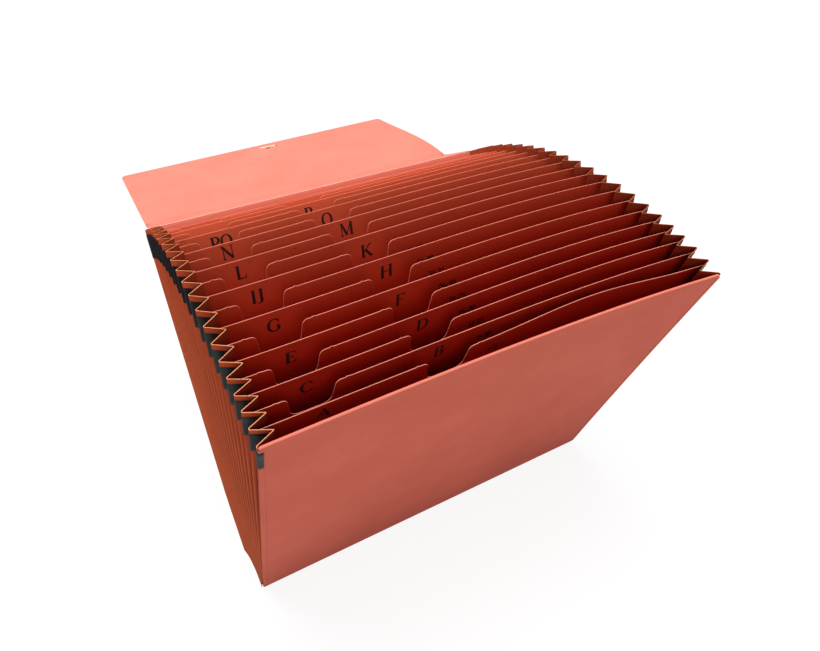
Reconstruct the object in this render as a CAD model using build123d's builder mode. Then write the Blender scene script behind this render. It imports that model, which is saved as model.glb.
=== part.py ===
# Accordion file folder, standing open like a fan with its flap thrown back.
# Lengths are in millimetres and angles in degrees.
# X runs along the width, Y from the front to the back and Z up from the table.
import os
from math import atan2, cos, degrees, radians, sin, sqrt, tan

from build123d import *

os.makedirs("parts", exist_ok=True)

# Folder
folder_width = 305.0
front_height = 255.0
back_height = 265.5
pocket_count = 21

# Fan: the opening angle of the narrow front pockets and of the wide back ones
front_pocket_angle = 1.85
back_pocket_angle = 2.8
narrow_pocket_count = 3
easing_pocket_count = 6
upright_divider = 11

# Covers and dividers
cover_thickness = 2.2
cover_corner_radius = 2.0
divider_thickness = 0.6
divider_drop = 4.5

# Sight notch in the top edge of each divider
notch_top_width = 27.0
notch_floor_width = 22.5
notch_depth = 17.5
notch_mouth_radius = 3.5
notch_floor_radius = 6.0
notch_margin = 22.5
notch_spacing = 76.5

# Gusset pleats, pocket floors and the tape glued over the pleats
pleat_width = 12.7
gusset_thickness = 0.4
gusset_clearance = 0.1
fold_room = 0.3
floor_clearance = 0.3
tape_drop = 3.8
tape_height = 18.0
tape_thickness = 0.2
tape_glue = 0.05
pleat_section_shares = (0, 0.06, 0.2, 0.5)

# Flap: a spine as deep as the shut folder, then the flap itself
flap_thickness = 0.9
crease_clearance = 0.3
flap_length = 133.5
flap_root_width = 296.0
flap_tip_width = 282.0
flap_corner_radius = 5.0
spine_fold_angle = 82.0
flap_fold_angle = 22.0

# Closure bar across an open eyelet in the flap, with a cord hole at its end
closure_offset = 4.5
closure_bar_length = 17.0
closure_bar_width = 1.8
closure_bar_height = 1.6
closure_bar_edge_radius = 0.5
closure_edge_distance = 12.5
closure_stem_radius = 0.8
eyelet_radius = 2.4
cord_hole_radius = 1.0
cord_hole_spacing = 1.4

# Extra length of every cut
overrun = 5.0

# Worked out from the sizes above
back_panel = pocket_count
pocket_gap = 2 * (gusset_clearance + gusset_thickness) + fold_room
crease_offset = crease_clearance + flap_thickness / 2
divider_count = pocket_count - 1
spine_length = pocket_count * pocket_gap + divider_count * divider_thickness + 2 * cover_thickness
outer_notch_x = notch_margin + notch_top_width / 2 - folder_width / 2
inner_notch_x = outer_notch_x + notch_spacing
height_rise = (back_height - front_height) / pocket_count


def panel_thickness(panel):
    """Board thickness of a panel: the covers are the first and last."""
    return cover_thickness if panel in (0, back_panel) else divider_thickness


def panel_height(panel):
    """Gusset top of a panel above its base line, rising evenly to the back."""
    return front_height + panel * height_rise


def pocket_angle(pocket):
    """Opening angle of a pocket, easing from the narrow ones to the wide ones."""
    share = min(max((pocket - narrow_pocket_count) / easing_pocket_count, 0), 1)
    ease = share * share * (3 - 2 * share)
    return front_pocket_angle + (back_pocket_angle - front_pocket_angle) * ease


def fan_lines(upright_lean, start_y, start_z):
    """Lean and base line of every panel, stepped out both ways from the upright divider."""
    leans = {upright_divider: upright_lean}
    bases = {upright_divider: (start_y, start_z)}
    for way, last in ((1, back_panel), (-1, 0)):
        for panel in range(upright_divider + way, last + way, way):
            inner = panel - way
            lean = radians(leans[inner])
            pitch = (panel_thickness(panel) + panel_thickness(inner)) / 2 + pocket_gap
            y, z = bases[inner]
            bases[panel] = (y + way * pitch * cos(lean), z - way * pitch * sin(lean))
            leans[panel] = leans[inner] + way * pocket_angle(max(panel, inner))
    return leans, bases


def flap_lines(leans, bases):
    """Crease and fold lines of the flap, each with the lean of the board that hangs on it."""
    y, z = bases[back_panel]
    angle = radians(leans[back_panel])
    up = back_height + crease_offset
    out = cover_thickness / 2 + crease_offset
    spine_lean = leans[back_panel] + spine_fold_angle
    crease_y = y + up * sin(angle) + out * cos(angle)
    crease_z = z + up * cos(angle) - out * sin(angle)
    fold_y = crease_y + spine_length * sin(radians(spine_lean))
    fold_z = crease_z + spine_length * cos(radians(spine_lean))
    return (crease_y, crease_z, spine_lean), (fold_y, fold_z, spine_lean - flap_fold_angle)


# The fan is levelled so that both covers stand on the table with their round bottom edges
_, loose_bases = fan_lines(0, 0, 0)
(front_y, front_z), (back_y, back_z) = loose_bases[0], loose_bases[back_panel]
upright_lean = degrees(atan2(back_z - front_z, back_y - front_y))
leans, bases = fan_lines(upright_lean, 0, 0)

# The origin lies on the table, midway from the front cover's lip to the flap's free edge
half_cover = cover_thickness / 2
_, (fold_y, _, flap_lean) = flap_lines(leans, bases)
lip_y = bases[0][0] + (front_height - half_cover) * sin(radians(leans[0])) - half_cover
half_flap_depth = flap_thickness / 2 * abs(cos(radians(flap_lean)))
free_edge_y = fold_y + flap_length * sin(radians(flap_lean)) + half_flap_depth
leans, bases = fan_lines(upright_lean, -(lip_y + free_edge_y) / 2, half_cover - bases[0][1])
spine_place, flap_place = flap_lines(leans, bases)


def board_plane(y, z, lean):
    """Plane of a leaning board: X along the width, Y up the board, Z out of its front face."""
    angle = radians(lean)
    return Plane(origin=(0, y, z), x_dir=(1, 0, 0), z_dir=(0, -cos(angle), sin(angle)))


def edge_plane(y, z, lean):
    """Plane across a leaning board: X up the board, Y towards its front."""
    angle = radians(lean)
    return Plane(origin=(0, y, z), x_dir=(0, sin(angle), cos(angle)), z_dir=(1, 0, 0))


def panel_place(panel):
    """Base line and lean of a panel."""
    return *bases[panel], leans[panel]


def pocket_place(pocket, reach):
    """Middle of a pocket at a distance up from its floor, with the pocket's lean."""
    front_base_y, front_base_z, front_lean = panel_place(pocket - 1)
    back_base_y, back_base_z, back_lean = panel_place(pocket)
    lean = (front_lean + back_lean) / 2
    y = (front_base_y + back_base_y) / 2 + reach * sin(radians(lean))
    z = (front_base_z + back_base_z) / 2 + reach * cos(radians(lean))
    return y, z, lean


def pocket_plane(pocket, reach):
    """Plane across a pocket: X along the width, Y from its front board to its back one."""
    y, z, lean = pocket_place(pocket, reach)
    angle = radians(lean)
    return Plane(origin=(0, y, z), x_dir=(1, 0, 0), z_dir=(0, sin(angle), cos(angle)))


def pocket_walls(pocket, reach):
    """Places of the front and back boards' facing sides, measured across the pocket."""
    middle_y, middle_z, middle_lean = pocket_place(pocket, reach)
    across = (cos(radians(middle_lean)), -sin(radians(middle_lean)))
    along = (sin(radians(middle_lean)), cos(radians(middle_lean)))
    walls = []
    for panel, way in ((pocket - 1, 1), (pocket, -1)):
        y, z, lean = panel_place(panel)
        turn = radians(lean - middle_lean)
        off_y, off_z = y - middle_y, z - middle_z
        over = off_y * across[0] + off_z * across[1]
        up = off_y * along[0] + off_z * along[1]
        half_board = way * panel_thickness(panel) / 2
        walls.append(over - up * tan(turn) + half_board / cos(turn))
    return walls


def pleat_points(pocket, reach, near, far):
    """V outline of a pleat on the right side, between two depths measured from the boards."""
    front, back = pocket_walls(pocket, reach)
    half_gap = (back - front) / 2
    middle = (back + front) / 2
    depth = sqrt(pleat_width**2 - half_gap**2)
    tip = folder_width / 2
    near_fold = tip - depth * (1 - near / half_gap)
    far_fold = tip - depth * (1 - far / half_gap)
    return [
        (tip, front + near),
        (near_fold, middle),
        (tip, back - near),
        (tip, back - far),
        (far_fold, middle),
        (tip, front + far),
    ]


def floor_points(pocket):
    """Inverted V outline of a pocket's floor: distance up the pocket, then across it."""
    front, back = pocket_walls(pocket, 0)
    half_gap = (back - front) / 2
    middle = (back + front) / 2
    near = gusset_clearance
    far = gusset_clearance + gusset_thickness
    near_fold = pleat_width * (1 - near / half_gap)
    far_fold = pleat_width * (1 - far / half_gap)
    return [
        (0, -front - near),
        (near_fold, -middle),
        (0, -back + near),
        (0, -back + far),
        (far_fold, -middle),
        (0, -front - far),
    ]


def flap_half_width(reach):
    """Half the flap's width at a distance from its crease, narrowing evenly to the free edge."""
    share = reach / (spine_length + flap_length)
    return (flap_root_width + (flap_tip_width - flap_root_width) * share) / 2


def save(builder, name):
    """Label a finished piece and write it under its own name."""
    builder.part.label = name
    export_step(builder.part, f"parts/{name}.step")


def make_cover(panel, name, round_top):
    """Cover board with a round bottom edge, rounded top corners and an optional round top lip."""
    y, z, lean = panel_place(panel)
    height = panel_height(panel)
    half = cover_thickness / 2
    shoulder = height - half if round_top else height
    with BuildPart() as cover:
        with BuildSketch(edge_plane(y, z, lean)):
            with BuildLine():
                Line((0, -half), (shoulder, -half))
                if round_top:
                    ThreePointArc((shoulder, -half), (height, 0), (shoulder, half))
                else:
                    Line((shoulder, -half), (shoulder, half))
                Line((shoulder, half), (0, half))
                ThreePointArc((0, half), (-half, 0), (0, -half))
            make_face()
        extrude(amount=folder_width / 2, both=True)
        with BuildSketch(board_plane(y, z, lean)) as outline:
            with Locations((0, height)):
                Rectangle(folder_width, height + overrun, align=(Align.CENTER, Align.MAX))
            fillet(outline.vertices().group_by(Axis.Y)[-1], cover_corner_radius)
        extrude(amount=cover_thickness, both=True, mode=Mode.INTERSECT)
    save(cover, name)


def make_divider(panel):
    """Divider sheet with a round bottom edge and a sight notch, in turn at either column."""
    y, z, lean = panel_place(panel)
    top = panel_height(panel) - divider_drop
    half = divider_thickness / 2
    side = folder_width / 2
    notch_x = inner_notch_x if panel % 2 else outer_notch_x
    with BuildPart() as divider:
        with BuildSketch(edge_plane(y, z, lean)):
            with BuildLine():
                Polyline((0, half), (top, half), (top, -half), (0, -half))
                ThreePointArc((0, -half), (-half, 0), (0, half))
            make_face()
        extrude(amount=side, both=True)
        with BuildSketch(board_plane(y, z, lean)) as outline:
            with BuildLine():
                Polyline(
                    (-side, -overrun),
                    (side, -overrun),
                    (side, top),
                    (notch_x + notch_top_width / 2, top),
                    (notch_x + notch_floor_width / 2, top - notch_depth),
                    (notch_x - notch_floor_width / 2, top - notch_depth),
                    (notch_x - notch_top_width / 2, top),
                    (-side, top),
                    close=True,
                )
            make_face()
            rows = outline.vertices().group_by(Axis.Y)
            fillet(rows[1], notch_floor_radius)
            fillet(rows[-1].sort_by(Axis.X)[1:-1], notch_mouth_radius)
        extrude(amount=divider_thickness, both=True, mode=Mode.INTERSECT)
    save(divider, f"divider_{panel:02d}")


def make_gusset(pocket):
    """Side pleats and floor that close one pocket, and the tape over the pleats' outer sides."""
    top = (panel_height(pocket - 1) + panel_height(pocket)) / 2
    paper = gusset_clearance + gusset_thickness
    glue = paper + tape_glue
    tape_ends = [top - tape_drop - tape_height, top - tape_drop]
    lower_reaches = [share * tape_ends[0] for share in pleat_section_shares]
    layers = [
        (lower_reaches + tape_ends + [top], gusset_clearance, paper),
        (tape_ends, glue, glue + tape_thickness),
    ]
    y, z, lean = pocket_place(pocket, 0)
    floor_half_length = folder_width / 2 - pleat_width - floor_clearance
    with BuildPart() as gusset:
        for reaches, near, far in layers:
            for reach in reaches:
                with BuildSketch(pocket_plane(pocket, reach)):
                    with BuildLine():
                        Polyline(*pleat_points(pocket, reach, near, far), close=True)
                    make_face()
            loft(ruled=True)
        mirror(about=Plane.YZ)
        with BuildSketch(edge_plane(y, z, lean)):
            with BuildLine():
                Polyline(*floor_points(pocket), close=True)
            make_face()
        extrude(amount=floor_half_length, both=True)
    save(gusset, f"gusset_{pocket:02d}")


def make_flap_board(place, length, start, corner_radius, hole_places, name):
    """Flap board from its round creased edge to its far edge, with round holes near that edge."""
    half = flap_thickness / 2
    near_half_width = flap_half_width(start)
    far_half_width = flap_half_width(start + length)
    with BuildPart() as board:
        with BuildSketch(edge_plane(*place)):
            with BuildLine():
                Polyline((0, half), (length, half), (length, -half), (0, -half))
                ThreePointArc((0, -half), (-half, 0), (0, half))
            make_face()
        extrude(amount=near_half_width, both=True)
        with BuildSketch(board_plane(*place)) as outline:
            with BuildLine():
                Polyline(
                    (-near_half_width, -half),
                    (near_half_width, -half),
                    (near_half_width, 0),
                    (far_half_width, length),
                    (-far_half_width, length),
                    (-near_half_width, 0),
                    close=True,
                )
            make_face()
            if corner_radius:
                fillet(outline.vertices().group_by(Axis.Y)[-1], corner_radius)
            for hole_x, hole_reach, hole_radius in hole_places:
                with Locations((hole_x, hole_reach)):
                    Circle(hole_radius, mode=Mode.SUBTRACT)
        extrude(amount=flap_thickness, both=True, mode=Mode.INTERSECT)
    save(board, name)


make_cover(0, "front_cover", round_top=True)
make_cover(back_panel, "back_cover", round_top=False)
for panel in range(1, back_panel):
    make_divider(panel)
for pocket in range(1, pocket_count + 1):
    make_gusset(pocket)

# Spine: hinged on the back cover's upper outer corner, so it folds over the top or down behind
make_flap_board(spine_place, spine_length - crease_offset, 0, 0, [], "flap_spine")

# Flap: hinged on the spine's far edge
closure_reach = flap_length - closure_edge_distance
cord_hole_x = closure_offset + closure_bar_length / 2 + cord_hole_spacing
flap_holes = [
    (closure_offset, closure_reach, eyelet_radius),
    (cord_hole_x, closure_reach, cord_hole_radius),
]
make_flap_board(flap_place, flap_length, spine_length, flap_corner_radius, flap_holes, "flap")

# Closure bar: lies across the eyelet on the flap's inner face, with a stem down into it
with BuildPart() as closure_bar:
    bar_plane = board_plane(*flap_place).offset(flap_thickness / 2)
    with BuildSketch(bar_plane):
        with Locations((closure_offset, closure_reach)):
            SlotOverall(closure_bar_length, closure_bar_width)
    extrude(amount=closure_bar_height)
    bar_axis = Axis(bar_plane.origin, bar_plane.z_dir)
    fillet(closure_bar.faces().sort_by(bar_axis)[-1].edges(), closure_bar_edge_radius)
    with BuildSketch(bar_plane):
        with Locations((closure_offset, closure_reach)):
            Circle(closure_stem_radius)
    extrude(amount=-flap_thickness)
save(closure_bar, "closure_bar")
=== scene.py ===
"""Looks of an accordion file folder that stands open like a fan, its flap thrown back."""
import math

import bpy
import numpy as np
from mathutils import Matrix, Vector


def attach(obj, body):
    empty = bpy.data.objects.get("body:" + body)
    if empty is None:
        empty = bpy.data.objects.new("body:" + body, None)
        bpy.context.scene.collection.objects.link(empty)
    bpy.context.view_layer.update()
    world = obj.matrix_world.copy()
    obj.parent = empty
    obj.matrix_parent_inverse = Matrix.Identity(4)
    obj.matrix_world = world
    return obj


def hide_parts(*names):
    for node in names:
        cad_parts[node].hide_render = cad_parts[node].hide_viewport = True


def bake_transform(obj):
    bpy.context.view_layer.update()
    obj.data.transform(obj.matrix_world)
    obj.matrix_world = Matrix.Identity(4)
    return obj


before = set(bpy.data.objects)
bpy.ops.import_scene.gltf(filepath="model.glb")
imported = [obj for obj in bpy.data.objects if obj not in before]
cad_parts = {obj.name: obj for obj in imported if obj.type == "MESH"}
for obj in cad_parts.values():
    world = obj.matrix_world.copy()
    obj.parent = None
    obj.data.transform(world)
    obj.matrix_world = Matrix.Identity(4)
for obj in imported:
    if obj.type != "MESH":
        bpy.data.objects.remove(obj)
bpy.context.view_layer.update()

# Sizes of the folder in millimetres and degrees, as in the part's source
folder_width = 305.0
front_height = 255.0
back_height = 265.5
pocket_count = 21
front_pocket_angle = 1.85
back_pocket_angle = 2.8
narrow_pocket_count = 3
easing_pocket_count = 6
upright_divider = 11
upright_lean = 0.69674537
upright_base = (-96.97508, 5.77637)
cover_thickness = 2.2
cover_corner_radius = 2.0
divider_thickness = 0.6
divider_drop = 4.5
notch_top_width = 27.0
notch_floor_width = 22.5
notch_depth = 17.5
notch_mouth_radius = 3.5
notch_floor_radius = 6.0
outer_notch_x = -116.5
inner_notch_x = -40.0
pleat_width = 12.7
gusset_thickness = 0.4
pocket_gap = 1.3
tape_drop = 3.8
tape_height = 18.0
tape_thickness = 0.2

metre = 0.001
side = folder_width / 2
last_panel = pocket_count


# Arrays

def held(value):
    """Value held between 0 and 1."""
    return np.clip(value, 0, 1)


def joined(*parts):
    """Arrays one after the other."""
    return np.concatenate(parts)


def beside(*parts):
    """Coordinates side by side, as points."""
    return np.stack(np.broadcast_arrays(*parts), axis=-1)


# The fan: the lean and base line of every panel

def panel_thickness(panel):
    """Board thickness: the covers are the first and last panels."""
    return cover_thickness if panel in (0, last_panel) else divider_thickness


def panel_height(panel):
    """Gusset top above a panel's base line, rising evenly to the back."""
    return front_height + panel * (back_height - front_height) / pocket_count


def pocket_angle(pocket):
    """Opening angle of a pocket in radians, easing from narrow ones to wide ones by a smooth step."""
    share = min(max((pocket - narrow_pocket_count) / easing_pocket_count, 0), 1)
    ease = share * share * (3 - 2 * share)
    return math.radians(front_pocket_angle + (back_pocket_angle - front_pocket_angle) * ease)


def pocket_pitch(pocket):
    """Distance between the middles of a pocket's two boards when it is shut."""
    return (panel_thickness(pocket - 1) + panel_thickness(pocket)) / 2 + pocket_gap


def fan_lines():
    """Leans in radians and base lines, stepped out both ways from the upright divider."""
    leans = {upright_divider: math.radians(upright_lean)}
    bases = {upright_divider: np.array(upright_base)}
    for way, last in ((1, last_panel), (-1, 0)):
        for panel in range(upright_divider + way, last + way, way):
            inner = panel - way
            pocket = max(panel, inner)
            across = np.array((math.cos(leans[inner]), -math.sin(leans[inner])))
            bases[panel] = bases[inner] + way * pocket_pitch(pocket) * across
            leans[panel] = leans[inner] + way * pocket_angle(pocket)
    return leans, bases


leans, bases = fan_lines()


def panel_body(panel):
    """Name of the rigid body that a panel belongs to."""
    if panel == 0:
        return "front_cover"
    return "back_cover" if panel == last_panel else f"divider_{panel:02d}"


def on_board(panel, x, up, out):
    """Points on a leaning board from its width, height and front-facing coordinates, in metres."""
    base_y, base_z = bases[panel]
    lean = leans[panel]
    y = base_y + up * math.sin(lean) - out * math.cos(lean)
    z = base_z + up * math.cos(lean) + out * math.sin(lean)
    return beside(x, y, z) * metre


# How the boards are out of true: bowed, leaning over and pressed sideways

bow_least = 2.7
bow_growth = 0.17
bow_fall = 0.73
front_bow_panels = 3
front_bow_terms = (2.5, -1.08, -3.6, -1.0)


def bow_depth(panel, x, up):
    """How far a board bows to the back: a cubic across the width, growing with the square of the height.

    The front boards swing out at their right ends, the later ones bow more on the right, and the
    back cover stays flat.
    """
    most = min(bow_least + bow_growth * panel, bow_fall * (last_panel - panel))
    front = max(1 - panel / front_bow_panels, 0)
    across = x / side
    height = held(up / panel_height(panel))
    front_bow = sum(term * across**power for power, term in enumerate(front_bow_terms))
    later_bow = most * (1 - across**2) * (1 + across)
    return (front * front_bow + (1 - front) * later_bow) * height**2


swung_panel = 1
swing_most = 0.47
swing_start = -0.3
swing_run = 1.2
swing_skew = 1.3


def swing_share(panel, x):
    """How far a board's right half leans over to the next board, as a share of the pocket's angle.

    Only the first divider leans over: by a squared sine that is skewed to the right.
    """
    if panel != swung_panel:
        return np.zeros_like(x)
    along = held((x / side - swing_start) / swing_run)
    return swing_most * np.sin(math.pi * along**swing_skew) ** 2


def bend_depth(panel, x, up):
    """A board's bow and its leaning over, together."""
    swing = swing_share(panel, x) * pocket_angle(panel + 1) * up
    return bow_depth(panel, x, up) + swing


left_press = 3.7
left_press_panel = 5
left_press_power = 1.3
left_tilt = 1.83
left_foot = -0.5
right_press = 2.7
right_press_panel = 8
right_press_spread = 5
right_press_start = 3


def pressed_in(panel, x, up):
    """Sideways shift of a board's two halves.

    The left half goes in at the top and out at the foot, growing to the back. The right half goes
    in at the top by a bell curve over the panels.
    """
    height = up / panel_height(panel)
    back = max((panel - left_press_panel) / (last_panel - left_press_panel), 0) ** left_press_power
    left = left_press * back * np.clip(1 - left_tilt * (1 - height), left_foot, 1)
    bell = math.exp(-((panel - right_press_panel) / right_press_spread) ** 2)
    right = right_press * bell * min(panel / right_press_start, 1) * held(height) ** 2
    return left * held(-x / side) ** 2 - right * held(x / side) ** 2


# Meshes

def signed_volume(points, faces):
    """Volume of a closed mesh of four-sided faces: the sum of its wedges to the origin."""
    a, b, c, d = (points[faces[:, i]] for i in range(4))
    return np.sum(a * (np.cross(b, c) + np.cross(c, d)))


def mesh_piece(name, points, faces, material, values=None, smooth=True):
    """Object at the origin from points and four-sided faces, turned outwards, with named values."""
    points = points.reshape(-1, 3)
    if signed_volume(points, faces) < 0:
        faces = faces[:, ::-1]
    mesh = bpy.data.meshes.new(name)
    mesh.from_pydata(points.tolist(), [], faces.tolist())
    for key, value in (values or {}).items():
        layer = mesh.attributes.new(key, "FLOAT", "POINT")
        layer.data.foreach_set("value", np.asarray(value, np.float32).ravel())
    mesh.polygons.foreach_set("use_smooth", np.full(len(mesh.polygons), smooth))
    mesh.materials.append(material)
    mesh.update()
    piece = bpy.data.objects.new(name, mesh)
    bpy.context.scene.collection.objects.link(piece)
    return piece


def quads(index):
    """Four-sided faces between the neighbours in a grid of point numbers."""
    a, b = index[:-1, :-1], index[:-1, 1:]
    c, d = index[1:, 1:], index[1:, :-1]
    return beside(a, b, c, d).reshape(-1, 4)


def tube_faces(rows, half_columns):
    """Faces of a flat tube: each row goes along one side and back along the other, ends closed."""
    columns = 2 * half_columns
    index = np.arange(rows * columns).reshape(rows, columns)
    near = np.arange(half_columns - 1)
    far = columns - 1 - near
    caps = [
        beside(row[near], row[near + 1], row[far - 1], row[far])[:, ::turn]
        for row, turn in ((index[0], -1), (index[-1], 1))
    ]
    sides = quads(np.concatenate((index, index[:, :1]), axis=1))
    return joined(sides, *caps)


def closed_sheet(name, front, back, material, values):
    """Closed sheet: a whole front grid, and a back grid that shares its rim points.

    Each named value has one grid for both faces.
    """
    rows, columns = front.shape[:2]
    index = np.arange(rows * columns).reshape(rows, columns)
    behind = index.copy()
    behind[1:-1, 1:-1] = index.size + np.arange((rows - 2) * (columns - 2)).reshape(rows - 2, -1)
    faces = joined(quads(index), quads(behind)[:, ::-1])
    points = joined(front.reshape(-1, 3), back[1:-1, 1:-1].reshape(-1, 3))
    layers = {key: joined(grid.ravel(), grid[1:-1, 1:-1].ravel()) for key, grid in values.items()}
    return mesh_piece(name, points, faces, material, layers)


def rim(edge, radius):
    """Share of the full thickness at a distance from the edge: a quarter circle."""
    rest = 1 - held(edge / radius)
    return np.sqrt(held(1 - rest**2))


def both_faces(outer, inner=None):
    """Values of a strip's points: the outer face's grid, then the inner face's the other way."""
    inner = outer if inner is None else inner
    return np.concatenate((outer, inner[:, ::-1]), axis=1)


def ribbon(name, centre, thickness, material, values=None, lift=0.0, towards=None):
    """Closed thin strip: a grid of middle points set off both ways along its normal.

    The normal is the cross product of the grid's two directions, turned towards a given direction,
    and lift moves the whole strip along it. Each named value has one grid for either face.
    """
    rows, columns = centre.shape[:2]
    normal = np.cross(np.gradient(centre, axis=1), np.gradient(centre, axis=0))
    normal /= np.linalg.norm(normal, axis=-1, keepdims=True)
    if towards is not None and np.sum(normal * np.asarray(towards)) < 0:
        normal = -normal
    outer = centre + normal * (lift + thickness / 2) * metre
    inner = centre + normal * (lift - thickness / 2) * metre
    layers = {key: both_faces(*grids) for key, grids in (values or {}).items()}
    return mesh_piece(name, both_faces(outer, inner), tube_faces(rows, columns), material, layers)


# Finishes

bump_distance = 0.0002


def srgb(red, green, blue):
    """Linear colour from eight-bit display values."""
    share = np.array((red, green, blue)) / 255
    linear = np.where(share <= 0.04045, share / 12.92, ((share + 0.055) / 1.055) ** 2.4)
    return (*linear.tolist(), 1.0)


def give(tree, made, values):
    """Set a node's inputs by name or number, or link them to other nodes."""
    for key, value in values.items():
        if isinstance(value, bpy.types.NodeSocket):
            tree.links.new(value, made.inputs[key])
        else:
            made.inputs[key].default_value = value


def node(tree, kind, values=None, **settings):
    """New shader node with its settings and inputs."""
    made = tree.nodes.new(kind)
    for key, value in settings.items():
        setattr(made, key, value)
    give(tree, made, values or {})
    return made


def mix_colour(tree, share, first, second):
    """Colour mix of two colours by a share."""
    made = node(tree, "ShaderNodeMix", {0: share, 6: first, 7: second}, data_type="RGBA")
    return made.outputs[2]


def attribute_value(tree, name):
    """A piece's own value at each point, by its name."""
    return node(tree, "ShaderNodeAttribute", attribute_name=name).outputs["Fac"]


def spread_value(tree, value, low, high, new_low, new_high):
    """Value moved from one range to another and held inside it."""
    made = node(tree, "ShaderNodeMapRange", {0: value, 1: low, 2: high, 3: new_low, 4: new_high})
    return made.outputs[0]


def math_value(tree, operation, first, second):
    """Sum, product or other operation of two values."""
    return node(tree, "ShaderNodeMath", {0: first, 1: second}, operation=operation).outputs[0]


def noise(tree, place, **values):
    """Noise value at a place, its inputs given by name."""
    return node(tree, "ShaderNodeTexNoise", {"Vector": place, **values}).outputs[0]


def bump(tree, height, strength):
    """Normal of a surface that is raised by a height."""
    values = {"Height": height, "Strength": strength, "Distance": bump_distance}
    return node(tree, "ShaderNodeBump", values).outputs[0]


def make_paper_group():
    """Pressed paper: broad cloudy tone, fine fibres, a few dark flecks and the height of its tooth."""
    tree = bpy.data.node_groups.new("pressed_paper", "ShaderNodeTree")
    tree.interface.new_socket("Position", in_out="INPUT", socket_type="NodeSocketVector")
    for label in ("Cloud", "Fibre", "Fleck", "Tooth"):
        tree.interface.new_socket(label, in_out="OUTPUT", socket_type="NodeSocketFloat")
    place = tree.nodes.new("NodeGroupInput").outputs["Position"]
    stretched = node(tree, "ShaderNodeMapping", {"Vector": place, "Scale": (0.45, 1, 1)}).outputs[0]
    cloud = noise(tree, place, Scale=22, Detail=4, Roughness=0.6)
    fibre = noise(tree, stretched, Scale=1100, Detail=4, Roughness=0.65, Distortion=0.8)
    fleck = noise(tree, place, Scale=420, Detail=1, Distortion=1.5)
    tooth = math_value(tree, "MULTIPLY", noise(tree, place, Scale=2400, Detail=2), 0.6)
    node(tree, "NodeGroupOutput", {
        "Cloud": spread_value(tree, cloud, 0.3, 0.7, 0, 1),
        "Fibre": spread_value(tree, fibre, 0.3, 0.7, 0, 1),
        "Fleck": spread_value(tree, fleck, 0.7, 0.78, 0, 1),
        "Tooth": math_value(tree, "ADD", fibre, tooth),
    })
    return tree


paper_group = make_paper_group()


def start_material(name, roughness, specular):
    """Material with one Principled shader, its tree and the Object coordinates."""
    material = bpy.data.materials.new(name)
    material.use_nodes = True
    tree = material.node_tree
    shader = tree.nodes["Principled BSDF"]
    give(tree, shader, {"Roughness": roughness, "Specular IOR Level": specular})
    place = node(tree, "ShaderNodeTexCoord").outputs["Object"]
    return material, tree, shader, place


paper_roughness = 0.8
fleck_strength = 0.35
tooth_strength = 0.25
painted_fill_most = 1.5
painted_fill_gain = 1.75


def paper_finish(name, low, high, cut, deep, faded=None, fibre=0.1, specular=0.08):
    """Dyed board or paper: two tones in clouds, fibres, dark flecks, painted shade in the folds and a
    paler cut edge.

    Painted light makes the rear boards paler, and makes a sheet's tone brighter further below its top
    edge, against the shade deep in its pocket.
    """
    material, tree, shader, place = start_material(name, paper_roughness, specular)
    grain = node(tree, "ShaderNodeGroup", {"Position": place}, node_tree=paper_group).outputs
    tone = mix_colour(tree, grain["Cloud"], low, high)
    # Painted light: the rear boards are paler, where the overhead lamp reaches them
    if faded:
        tone = mix_colour(tree, attribute_value(tree, "faded"), tone, faded)
    tone = mix_colour(tree, math_value(tree, "MULTIPLY", grain["Fibre"], fibre), tone, cut)
    tone = mix_colour(tree, math_value(tree, "MULTIPLY", grain["Fleck"], fleck_strength), tone, deep)
    # Painted shade: darker towards the folds, by each piece's fold value
    tone = mix_colour(tree, attribute_value(tree, "fold"), tone, deep)
    # Painted light: brighter further below a divider's top edge, against the shade in its pocket
    bright = spread_value(tree, attribute_value(tree, "fresh"), 0, painted_fill_most, 1.0, painted_fill_gain)
    tone = node(tree, "ShaderNodeVectorMath", {0: tone, "Scale": bright}, operation="SCALE").outputs[0]
    tone = mix_colour(tree, attribute_value(tree, "cut"), tone, cut)
    rough = spread_value(tree, grain["Fibre"], 0, 1, paper_roughness - 0.08, paper_roughness + 0.1)
    tooth = bump(tree, grain["Tooth"], tooth_strength)
    give(tree, shader, {"Base Color": tone, "Roughness": rough, "Normal": tooth})
    return material


def tape_finish():
    """Binding tape: a fine weave of two crossing waves, with patches of painted grey sheen and painted
    black shade in the folds.
    """
    material, tree, shader, place = start_material("binding_tape", 0.7, 0.08)
    weave = []
    for axis in ("Y", "Z"):
        wave = node(tree, "ShaderNodeTexWave", {"Vector": place, "Scale": 420, "Distortion": 0.6},
                    wave_type="BANDS", bands_direction=axis)
        weave.append(wave.outputs["Fac"])
    height = math_value(tree, "MULTIPLY", *weave)
    sheen_noise = noise(tree, place, Scale=130, Detail=4)
    sheen_share = spread_value(tree, sheen_noise, 0.45, 0.75, 0, 0.4)
    tone = mix_colour(tree, height, srgb(46, 50, 50), srgb(60, 66, 64))
    # Painted sheen: grey patches placed by a noise
    tone = mix_colour(tree, sheen_share, tone, srgb(92, 100, 96))
    # Painted shade: black towards the folds
    tone = mix_colour(tree, attribute_value(tree, "fold"), tone, srgb(22, 13, 17))
    rough = spread_value(tree, sheen_noise, 0.3, 0.7, 0.6, 0.8)
    give(tree, shader, {"Base Color": tone, "Roughness": rough, "Normal": bump(tree, height, 0.3)})
    return material


def ink_finish():
    """Printed black ink that lets a little of the paper's red through where it is thin; it is also the
    painted shade in the flap's holes.
    """
    material, tree, shader, place = start_material("dark_print_and_hole_shade", 0.6, 0.3)
    share = spread_value(tree, noise(tree, place, Scale=900, Detail=3), 0.45, 0.75, 0, 0.45)
    give(tree, shader, {"Base Color": mix_colour(tree, share, srgb(26, 8, 7), srgb(70, 20, 14))})
    return material


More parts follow.
